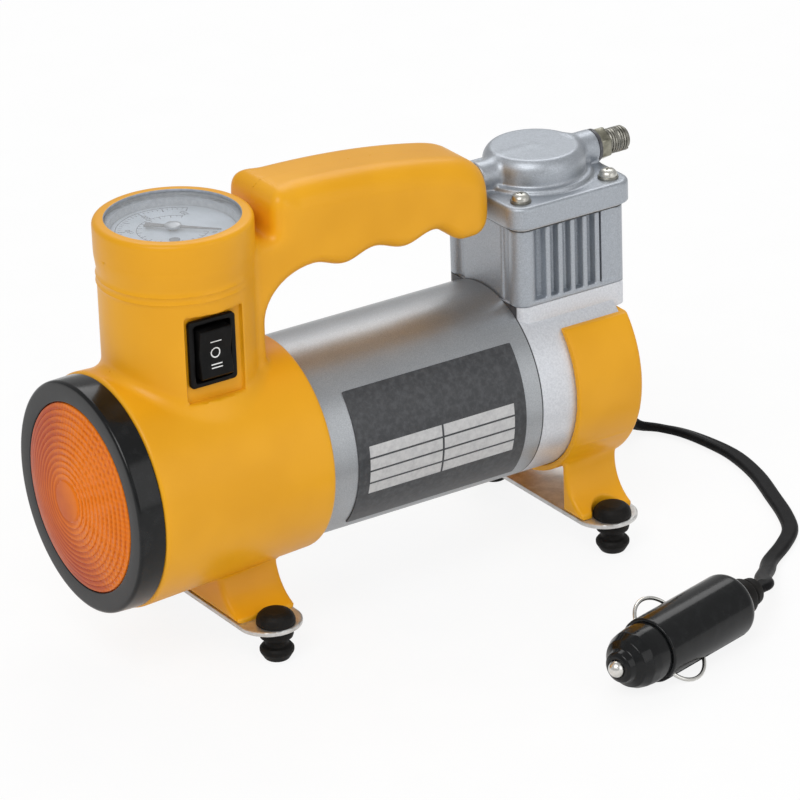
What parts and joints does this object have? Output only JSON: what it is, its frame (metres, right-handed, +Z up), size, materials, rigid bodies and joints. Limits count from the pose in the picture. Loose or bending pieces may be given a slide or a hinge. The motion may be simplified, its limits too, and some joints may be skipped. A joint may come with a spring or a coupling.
{
  "type": "portable tire inflator",
  "caption": "Car tire inflator: a motor-driven piston compressor with carrying handle, dial gauge, rocker switch, amber lamp, rubber feet and a lighter-socket plug on a short cord.",
  "frame": {"origin": "floor point midway between the lamp lens and the end of the air outlet, under the motor axis", "axes": "+Z up, +Y along the motor axis toward the compressor and air outlet, lamp at -Y, switch side at +X"},
  "size_m": [0.1592, 0.2424, 0.1377],
  "materials": {
    "yellow_plastic": "warm yellow moulded plastic, satin gloss",
    "black_gloss": "glossy black moulded plastic",
    "black_matte": "matte black moulded plastic",
    "amber_lens": "clear amber plastic with light-bending rings",
    "reflector": "bright metallised bowl",
    "bulb_glass": "clear glass",
    "gauge_grey": "pale grey moulded plastic",
    "gauge_glass": "clear flat window",
    "dial_white": "printed white dial",
    "brass": "plain brass",
    "silver_paint": "silver lacquered steel can",
    "cast_silver": "die-cast aluminium with silver lacquer",
    "steel": "plain steel",
    "zinc_steel": "zinc-plated steel",
    "ferrite": "dark sintered magnet",
    "laminate": "stacked electrical steel",
    "copper": null,
    "board": "brown phenolic board",
    "carbon": "pressed carbon",
    "label": "dark printed sticker with a pale blank table",
    "gasket": "thin sealing sheet",
    "black_rubber": "black rubber",
    "cord_vinyl": "flat twin cord, black vinyl jacket",
    "fuse_glass": "glass fuse with metal caps"
  },
  "bodies": {
    "housing": {"housing_right": "yellow_plastic", "housing_left": "yellow_plastic", "housing_screws": "zinc_steel", "lamp_bezel": "black_gloss", "lamp_lens": "amber_lens", "lamp_reflector": "reflector", "lamp_bulb": "bulb_glass", "bulb_holder": "black_matte", "gauge_ring": "yellow_plastic", "gauge_case": "gauge_grey", "gauge_dial": "dial_white", "gauge_glass": "gauge_glass", "bourdon_tube": "brass", "air_tube": "black_rubber", "switch_body": "black_gloss", "switch_terminals": "brass", "motor_can": "silver_paint", "motor_magnets": "ferrite", "motor_end_bell": "silver_paint", "brush_holder": "board", "carbon_brushes": "carbon", "motor_label": "label", "crankcase": "cast_silver", "shaft_bearing": "steel", "cylinder_block": "cast_silver", "head_gasket": "gasket", "valve_plate": "steel", "reed_valves": "steel", "cylinder_head": "cast_silver", "head_screws": "zinc_steel", "outlet_washer": "steel", "outlet_fitting": "steel", "rear_cover": "yellow_plastic", "cover_screws": "zinc_steel", "cord_gland": "black_rubber", "front_strap": "zinc_steel", "rear_strap": "zinc_steel", "strap_screws": "zinc_steel", "rubber_feet": "black_rubber", "lead_wires": "cord_vinyl", "power_cord": "cord_vinyl", "plug_strain_relief": "black_matte", "plug_body": "black_gloss", "plug_nose": "black_gloss", "plug_spring": "steel"},
    "rotor": {"motor_shaft": "steel", "armature_core": "laminate", "armature_windings": "copper", "commutator": "copper", "crank_disc": "steel"},
    "rod": {"connecting_rod": "cast_silver", "wrist_pin": "steel"},
    "piston": {"piston": "cast_silver", "piston_seal": "gasket"},
    "needle": {"gauge_needle": "black_matte"},
    "rocker": {"switch_rocker": "black_gloss"},
    "plug_pin": {"plug_tip": "zinc_steel", "plug_fuse": "fuse_glass"},
    "side_near": {"side_contact_near": "zinc_steel"},
    "side_far": {"side_contact_far": "zinc_steel"}
  },
  "joints": [
    {"name": "motor_spin", "type": "hinge", "parent": "housing", "child": "rotor", "pos_m": [0, 0.0598, 0.053], "axis": [0, 1, 0], "continuous": true},
    {"name": "rod_big_end", "type": "hinge", "parent": "rotor", "child": "rod", "pos_m": [0, 0.0668, 0.0585], "axis": [0, 1, 0], "continuous": true},
    {"name": "piston_stroke", "type": "slide", "parent": "housing", "child": "piston", "axis": [0, 0, 1], "range_m": [-0.011, 0]},
    {"name": "needle_turn", "type": "hinge", "parent": "housing", "child": "needle", "pos_m": [0, -0.0602, 0.1296], "axis": [0, 0, -1], "range_deg": [0, 270]},
    {"name": "switch_rock", "type": "hinge", "parent": "housing", "child": "rocker", "pos_m": [0.0172, -0.0612, 0.098], "axis": [0, 1, 0], "range_deg": [-10, 10]},
    {"name": "plug_pin_push", "type": "slide", "parent": "housing", "child": "plug_pin", "axis": [-0.2672, 0.9636, 0], "range_m": [0, 0.0024], "stiffness_N_per_m": 800, "springref_m": -0.002, "deforming": ["plug_spring"]},
    {"name": "side_near_push", "type": "slide", "parent": "housing", "child": "side_near", "axis": [-0.7052, -0.1956, 0.6815], "range_m": [0, 0.0016], "stiffness_N_per_m": 500, "springref_m": -0.001},
    {"name": "side_far_push", "type": "slide", "parent": "housing", "child": "side_far", "axis": [0.7052, 0.1956, -0.6815], "range_m": [0, 0.0016], "stiffness_N_per_m": 500, "springref_m": -0.001}
  ],
  "couplings": [
    {"joint": "rod_big_end", "follows": "motor_spin", "ratio": -1}
  ]
}
